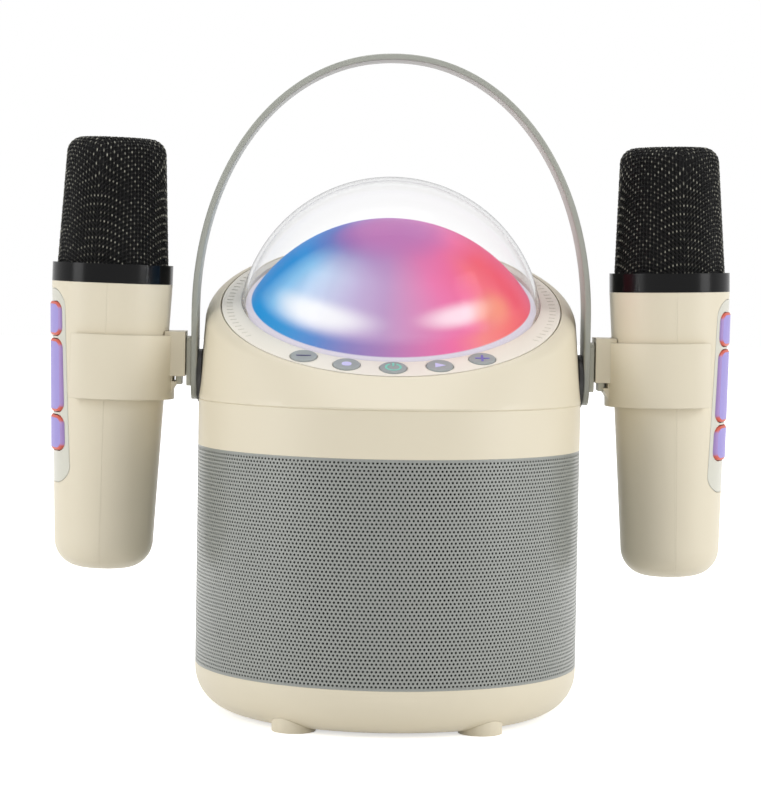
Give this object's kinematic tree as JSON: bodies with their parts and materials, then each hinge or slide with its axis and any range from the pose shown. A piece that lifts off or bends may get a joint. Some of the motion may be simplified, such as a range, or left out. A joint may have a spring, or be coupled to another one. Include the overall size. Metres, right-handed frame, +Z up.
{
  "type": "portable karaoke speaker",
  "caption": "Drum-shaped portable speaker with slanted control ring, domed party light, bail handle and two wireless microphones in drop-on clips.",
  "frame": {"origin": "on the floor under the middle of the drum", "axes": "+X to the right seen from the front, through both microphones; +Y to the back; +Z up"},
  "size_m": [0.2314, 0.13, 0.223],
  "materials": {
    "cream_shell": "warm cream injection-moulded ABS, fine satin",
    "black_plastic": "black moulded ABS, matt",
    "cone_paper": "dark pressed cone with rubber surround",
    "dust_cloth": "thin black acoustic cloth",
    "painted_mesh": "perforated steel sheet, grey satin powder coat",
    "steel": "zinc-plated screws",
    "magnet": "ferrite magnet and plate",
    "cell_wrap": "shrink-wrapped cell",
    "board": "green circuit board",
    "ivory_ring": "ivory moulded ABS, satin",
    "clear_dome": "clear polished polycarbonate",
    "diffuser": "milky diffuser lit in blue, violet, pink and orange",
    "lamp": "white lamp bodies",
    "grey_plastic": "grey moulded plastic, satin",
    "washer": "black friction washer",
    "mic_panel": "pale grey inset panel",
    "lavender_key": "lavender silicone key with an orange-red edge",
    "black_gloss": "glossy black moulded collar",
    "black_wire": "black woven wire head",
    "foam": "black open-cell foam lining",
    "capsule": "capsule in its holder"
  },
  "bodies": {
    "speaker": {"base_shell": "cream_shell", "feet": "cream_shell", "base_screws": "steel", "speaker_frame": "black_plastic", "sleeve": "painted_mesh", "dust_cloth": "dust_cloth", "driver_basket": "black_plastic", "driver_cone": "cone_paper", "driver_magnet": "magnet", "driver_screws": "steel", "radiator": "cone_paper", "battery_tray": "black_plastic", "battery_cells": "cell_wrap", "band_housing": "cream_shell", "case_screws": "steel", "main_board": "board", "port_panel": "black_plastic", "port_board": "board", "top_shell": "cream_shell", "control_ring": "ivory_ring", "dome": "clear_dome", "diffuser": "diffuser", "light_board": "board", "lamps": "lamp", "board_screws": "steel", "washers": "washer", "hangers": "grey_plastic", "pivot_screws": "steel"},
    "handle": {"handle": "grey_plastic"},
    "button_minus": {"button_minus": "grey_plastic"},
    "button_mode": {"button_mode": "grey_plastic"},
    "button_power": {"button_power": "grey_plastic"},
    "button_play": {"button_play": "grey_plastic"},
    "button_plus": {"button_plus": "grey_plastic"},
    "clip_left": {"clip_left": "cream_shell"},
    "mic_left": {"mic_face_left": "cream_shell", "mic_back_left": "cream_shell", "mic_panel_left": "mic_panel", "mic_collar_left": "black_gloss", "mic_head_left": "black_wire", "mic_foam_left": "foam", "mic_capsule_left": "capsule", "mic_board_left": "board", "mic_cell_left": "cell_wrap"},
    "mic_key_top_left": {"mic_key_top_left": "lavender_key"},
    "mic_key_middle_left": {"mic_key_middle_left": "lavender_key"},
    "mic_key_low_left": {"mic_key_low_left": "lavender_key"},
    "clip_right": {"clip_right": "cream_shell"},
    "mic_right": {"mic_face_right": "cream_shell", "mic_back_right": "cream_shell", "mic_panel_right": "mic_panel", "mic_collar_right": "black_gloss", "mic_head_right": "black_wire", "mic_foam_right": "foam", "mic_capsule_right": "capsule", "mic_board_right": "board", "mic_cell_right": "cell_wrap"},
    "mic_key_top_right": {"mic_key_top_right": "lavender_key"},
    "mic_key_middle_right": {"mic_key_middle_right": "lavender_key"},
    "mic_key_low_right": {"mic_key_low_right": "lavender_key"}
  },
  "joints": [
    {"name": "handle_swing", "type": "hinge", "parent": "speaker", "child": "handle", "pos_m": [0, 0, 0.1135], "axis": [1, 0, 0], "range_deg": [-90, 90]},
    {"name": "minus_press", "type": "slide", "parent": "speaker", "child": "button_minus", "axis": [0, 0.3769, -0.9263], "range_m": [0, 0.0008], "stiffness_N_per_m": 800, "springref_m": -0.0004},
    {"name": "mode_press", "type": "slide", "parent": "speaker", "child": "button_mode", "axis": [0, 0.3769, -0.9263], "range_m": [0, 0.0008], "stiffness_N_per_m": 800, "springref_m": -0.0004},
    {"name": "power_press", "type": "slide", "parent": "speaker", "child": "button_power", "axis": [0, 0.3769, -0.9263], "range_m": [0, 0.0008], "stiffness_N_per_m": 800, "springref_m": -0.0004},
    {"name": "play_press", "type": "slide", "parent": "speaker", "child": "button_play", "axis": [0, 0.3769, -0.9263], "range_m": [0, 0.0008], "stiffness_N_per_m": 800, "springref_m": -0.0004},
    {"name": "plus_press", "type": "slide", "parent": "speaker", "child": "button_plus", "axis": [0, 0.3769, -0.9263], "range_m": [0, 0.0008], "stiffness_N_per_m": 800, "springref_m": -0.0004},
    {"name": "clip_left_lift", "type": "slide", "parent": "speaker", "child": "clip_left", "axis": [0, 0, 1], "range_m": [0, 0.02]},
    {"name": "mic_left_lift", "type": "slide", "parent": "clip_left", "child": "mic_left", "axis": [0.0227, 0, 0.9997], "range_m": [0, 0.1]},
    {"name": "key_top_left_press", "type": "slide", "parent": "mic_left", "child": "mic_key_top_left", "axis": [0.9997, 0, -0.0227], "range_m": [0, 0.0006], "stiffness_N_per_m": 600, "springref_m": -0.0004},
    {"name": "key_middle_left_press", "type": "slide", "parent": "mic_left", "child": "mic_key_middle_left", "axis": [0.9997, 0, -0.0227], "range_m": [0, 0.0006], "stiffness_N_per_m": 600, "springref_m": -0.0004},
    {"name": "key_low_left_press", "type": "slide", "parent": "mic_left", "child": "mic_key_low_left", "axis": [0.9997, 0, -0.0227], "range_m": [0, 0.0006], "stiffness_N_per_m": 600, "springref_m": -0.0004},
    {"name": "clip_right_lift", "type": "slide", "parent": "speaker", "child": "clip_right", "axis": [0, 0, 1], "range_m": [0, 0.02]},
    {"name": "mic_right_lift", "type": "slide", "parent": "clip_right", "child": "mic_right", "axis": [-0.0227, 0, 0.9997], "range_m": [0, 0.1]},
    {"name": "key_top_right_press", "type": "slide", "parent": "mic_right", "child": "mic_key_top_right", "axis": [-0.9997, 0, -0.0227], "range_m": [0, 0.0006], "stiffness_N_per_m": 600, "springref_m": -0.0004},
    {"name": "key_middle_right_press", "type": "slide", "parent": "mic_right", "child": "mic_key_middle_right", "axis": [-0.9997, 0, -0.0227], "range_m": [0, 0.0006], "stiffness_N_per_m": 600, "springref_m": -0.0004},
    {"name": "key_low_right_press", "type": "slide", "parent": "mic_right", "child": "mic_key_low_right", "axis": [-0.9997, 0, -0.0227], "range_m": [0, 0.0006], "stiffness_N_per_m": 600, "springref_m": -0.0004}
  ]
}
